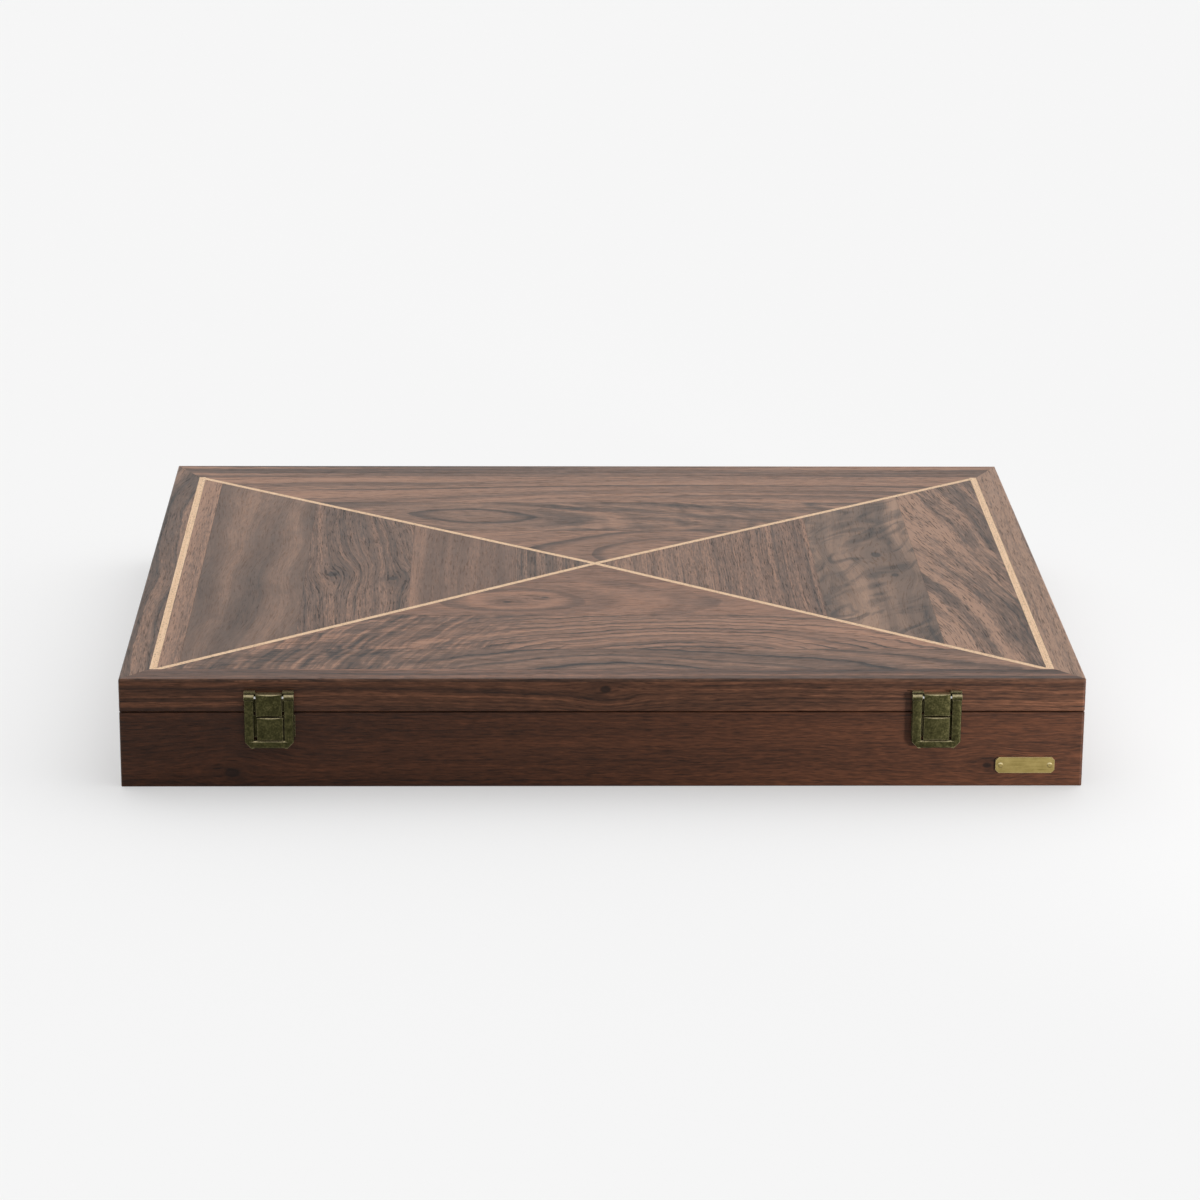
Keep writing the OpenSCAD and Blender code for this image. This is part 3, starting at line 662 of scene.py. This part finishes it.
def brass():
    m = Material("satin_brass")
    place = m.place()
    brushed = m.noise(BRASS_BRUSHED, place)
    tarnish = m.noise(BRASS_TARNISH, place)
    edge, upper = worn_edges_and_lit_tops(m, BRASS_EDGE)
    # Bare metal on rubbed edges, and a painted highlight of light from above on upper sides
    worn_and_lit = m.math("MAXIMUM", edge * BRASS_RUBBED, upper * BRASS_TOP_HIGHLIGHT)
    colour = m.mix(worn_and_lit, m.ramp((brushed + tarnish) * 0.5, BRASS_TONES), WORN_AND_LIT_BRASS)
    m.bump(brushed, BRASS_RELIEF)
    return m.finish(colour, roughness=0.36 + tarnish * 0.1, metallic=1.0)


def steel():
    m = Material("drawn_steel")
    drawn = m.noise(STEEL_DRAWN, m.place())
    m.bump(drawn, STEEL_RELIEF)
    return m.finish(m.ramp(drawn, STEEL_TONES), roughness=0.28, metallic=1.0)


def paint_hardware():
    latch_bronze = antique_bronze("latch_bronze", LATCH_TOP_HIGHLIGHT)
    hinge_bronze = antique_bronze("hinge_bronze", HINGE_TOP_HIGHLIGHT)
    plate, pin_steel = brass(), steel()
    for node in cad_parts:
        if node.startswith("name_plate"):
            paint(node, plate)
        elif node.endswith("_pin"):
            paint(node, pin_steel)
        elif node.startswith("latch"):
            paint(node, latch_bronze)
        elif node.startswith("hinge"):
            paint(node, hinge_bronze)


# ---------------------------------------------------------------- felt lining

FELT_TUFTS = Figure((1.6, 1.6, 1.6), detail=4.0, roughness=0.8, distortion=1.2)
FELT_PATCHES = Figure((25.0, 25.0, 25.0), detail=3.0)
FELT_TONES = [(0.3, (0.006, 0.040, 0.026)), (0.7, (0.030, 0.115, 0.075))]
TUFT_SHARE = 0.75        # how much of the tone the tufts make, and the patches the rest
FELT_PILE = 0.3 * MM

FELT_CELL = 3 * MM
FELT_WAVE = 0.12 * MM    # how far the free side sinks on average, and how far it waves round that
FELT_ROLL = 4 * MM       # width of the rim that rolls off
FELT_RIM_SINK = 0.35     # share of its thickness that the felt loses at its cut edge


def felt():
    m = Material("green_felt")
    place = m.place()
    tufts = m.noise(FELT_TUFTS, place)
    patches = m.noise(FELT_PATCHES, place)
    colour = m.ramp(tufts * TUFT_SHARE + patches * (1.0 - TUFT_SHARE), FELT_TONES)
    m.bump(tufts, FELT_PILE)
    return m.finish(colour, roughness=0.95, sheen=0.15)


def felt_sink(x, y, low, high):
    """How far the free side of a sheet lies under its full height: a faint wave and a rolled rim.

    The wave's numbers are radians per metre and don't repeat over the sheet.
    """
    wave = math.sin(x * 61 + 1.3 * math.sin(y * 47)) * math.sin(y * 53 + 1.1 * math.sin(x * 71))
    rim = min(x - low.x, high.x - x, y - low.y, high.y - y)
    rolled = max(0.0, 1 - rim / FELT_ROLL) ** 3
    return FELT_WAVE * (1 + wave) + (high.z - low.z) * FELT_RIM_SINK * rolled


def felt_mesh(name, low, high, up):
    """A closed slab from low to high with a soft free side, which is the upper one where up is true."""
    columns = round((high.x - low.x) / FELT_CELL)
    rows = round((high.y - low.y) / FELT_CELL)
    glued, free, inward = (low.z, high.z, -1) if up else (high.z, low.z, 1)
    flat = [(low.x + (high.x - low.x) * i / columns, low.y + (high.y - low.y) * j / rows)
            for j in range(rows + 1) for i in range(columns + 1)]
    points = [(x, y, glued) for x, y in flat]
    points += [(x, y, free + inward * felt_sink(x, y, low, high)) for x, y in flat]

    def corner(side, i, j):
        return side * len(flat) + j * (columns + 1) + i

    faces = []
    for j in range(rows):
        for i in range(columns):
            quad = [corner(1, i, j), corner(1, i + 1, j), corner(1, i + 1, j + 1), corner(1, i, j + 1)]
            back = [k - len(flat) for k in reversed(quad)]
            faces += [quad, back] if up else [quad[::-1], back[::-1]]
    rim = [(i, 0) for i in range(columns)] + [(columns, j) for j in range(rows)]
    rim += [(i, rows) for i in range(columns, 0, -1)] + [(0, j) for j in range(rows, 0, -1)]
    for start, end in zip(rim, rim[1:] + rim[:1]):
        side = [corner(0, *start), corner(0, *end), corner(1, *end), corner(1, *start)]
        faces.append(side if up else side[::-1])
    mesh = bpy.data.meshes.new(name)
    mesh.from_pydata(points, [], faces)
    mesh.update()
    for polygon in mesh.polygons:
        polygon.use_smooth = abs(polygon.normal.z) > 0.5
    return mesh


def felt_sheet(node, body, material, up):
    """A laid sheet of felt in a CAD slab's place: faintly wavy, and thinner where its edge rolls off."""
    low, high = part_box(node)
    mesh = felt_mesh(node + "_sheet", low, high, up)
    mesh.materials.append(material)
    sheet = bpy.data.objects.new(node + "_sheet", mesh)
    bpy.context.scene.collection.objects.link(sheet)
    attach(sheet, body)
    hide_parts(node)


def lay_felt():
    material = felt()
    felt_sheet("base_felt", "base", material, up=True)
    felt_sheet("lid_felt", "lid", material, up=False)


# ---------------------------------------------------------------- stage, light and camera

CAMERA_PLACE = (-0.04066, -1.68158, 0.56477)
CAMERA_YAW, CAMERA_PITCH, CAMERA_ROLL = -1.464, 17.665, 0.448  # degrees
CAMERA_LENS, SENSOR = 120.0, 36.0  # millimetres

BACKGROUND = 0.915        # what the camera sees of the paper behind and under the case
FLOOR_HALF = 6.0
FLOOR_SEEN, FLOOR_BOUNCE = 0.80, 0.37  # how white the paper looks, and how much light it sends on
FLOOR_GLOW = 0.98
FLOOR_GLOW_SHARE = 0.38   # keeps the paper even, and leaves the rest to light and shadow

BACKDROP_WAY = (0.50, 0.87)   # towards the brightest part of the studio, seen from the case
BACKDROP_RISE = (-0.4, 0.6)   # how far a direction points that way, where light starts and is full
CEILING_RISE = (0.3, 1.0)     # how far a direction points up, where the ceiling's light starts and is full
STUDIO_DIM, STUDIO_BRIGHT, STUDIO_OVERHEAD = 0.03, 1.28, 0.96

LAMP_PLACE, LAMP_TARGET = (0.75, -0.75, 0.06), (0.26, -0.16, 0.03)
LAMP_WIDTH, LAMP_HEIGHT = 0.2, 0.05
LAMP_WATTS = 0.26
LAMP_SPREAD = 30.0        # degrees


def make_camera():
    data = bpy.data.cameras.new("camera")
    data.lens = CAMERA_LENS
    data.sensor_width = SENSOR
    camera = bpy.data.objects.new("camera", data)
    turn = (Matrix.Rotation(math.radians(CAMERA_YAW), 4, "Z")
            @ Matrix.Rotation(math.radians(90 - CAMERA_PITCH), 4, "X")
            @ Matrix.Rotation(math.radians(CAMERA_ROLL), 4, "Z"))
    camera.matrix_world = Matrix.Translation(CAMERA_PLACE) @ turn
    bpy.context.scene.collection.objects.link(camera)
    bpy.context.scene.camera = camera


def looked_at(nodes):
    """1 where the camera looks, directly or in a reflection, and 0 where light only passes on."""
    path = nodes.add("ShaderNodeLightPath")
    camera, glossy, transmission = (
        Value(nodes, path.outputs[f"Is {kind} Ray"]) for kind in ("Camera", "Glossy", "Transmission"))
    return nodes.math("MAXIMUM", camera, nodes.math("MAXIMUM", glossy, transmission))


def studio_paper():
    """White paper that looks even to the camera and sends on less light than it seems to."""
    m = Material("studio_paper")
    seen = looked_at(m)
    white = seen * (FLOOR_SEEN - FLOOR_BOUNCE) + FLOOR_BOUNCE
    m.finish(m.vector(white, white, white), roughness=1.0, specular=0.0)
    glow = m.add("ShaderNodeEmission")
    glow.inputs["Color"].default_value = (FLOOR_GLOW, FLOOR_GLOW, FLOOR_GLOW, 1.0)
    mixed = m.add("ShaderNodeMixShader")
    m.set(mixed.inputs[0], seen * FLOOR_GLOW_SHARE)
    m.set(mixed.inputs[1], m.shader.outputs[0])
    m.set(mixed.inputs[2], glow.outputs[0])
    m.set(m.tree.nodes["Material Output"].inputs["Surface"], mixed.outputs[0])
    return m.data


def make_floor():
    mesh = bpy.data.meshes.new("floor")
    h = FLOOR_HALF
    mesh.from_pydata([(-h, -h, 0), (h, -h, 0), (h, h, 0), (-h, h, 0)], [], [(0, 1, 2, 3)])
    mesh.materials.append(studio_paper())
    floor = bpy.data.objects.new("floor", mesh)
    bpy.context.scene.collection.objects.link(floor)


def make_world():
    """White behind and above the case, dim in front of it, as in a studio with a lit backdrop."""
    world = bpy.data.worlds.new("studio")
    bpy.context.scene.world = world
    world.use_nodes = True
    n = Nodes(world.node_tree)
    x, y, z = n.split(n.add("ShaderNodeTexCoord").outputs["Generated"])
    backdrop = (x * BACKDROP_WAY[0] + y * BACKDROP_WAY[1]).step(*BACKDROP_RISE)
    ceiling = z.step(*CEILING_RISE)
    level = backdrop * (STUDIO_BRIGHT - STUDIO_DIM) + STUDIO_DIM + ceiling * STUDIO_OVERHEAD
    background = n.tree.nodes["Background"]
    background.inputs["Color"].default_value = (1, 1, 1, 1)
    n.set(background.inputs["Strength"], level + looked_at(n) * (BACKGROUND - level))


def make_lamp():
    """A low, narrow beam that rakes the right end of the front and hardly reaches the floor."""
    data = bpy.data.lights.new("raking_softbox", "AREA")
    data.shape = "RECTANGLE"
    data.size, data.size_y = LAMP_WIDTH, LAMP_HEIGHT
    data.energy = LAMP_WATTS
    data.spread = math.radians(LAMP_SPREAD)
    lamp = bpy.data.objects.new("raking_softbox", data)
    lamp.location = LAMP_PLACE
    lamp.rotation_euler = (Vector(LAMP_TARGET) - Vector(LAMP_PLACE)).to_track_quat("-Z", "Y").to_euler()
    bpy.context.scene.collection.objects.link(lamp)


# ---------------------------------------------------------------- build

make_camera()
make_floor()
make_world()
make_lamp()
paint_lid_top()
paint_walls()
paint_dividers()
paint_hardware()
paint_panels_and_inlay()
lay_felt()
bpy.context.scene.view_settings.view_transform = "Standard"
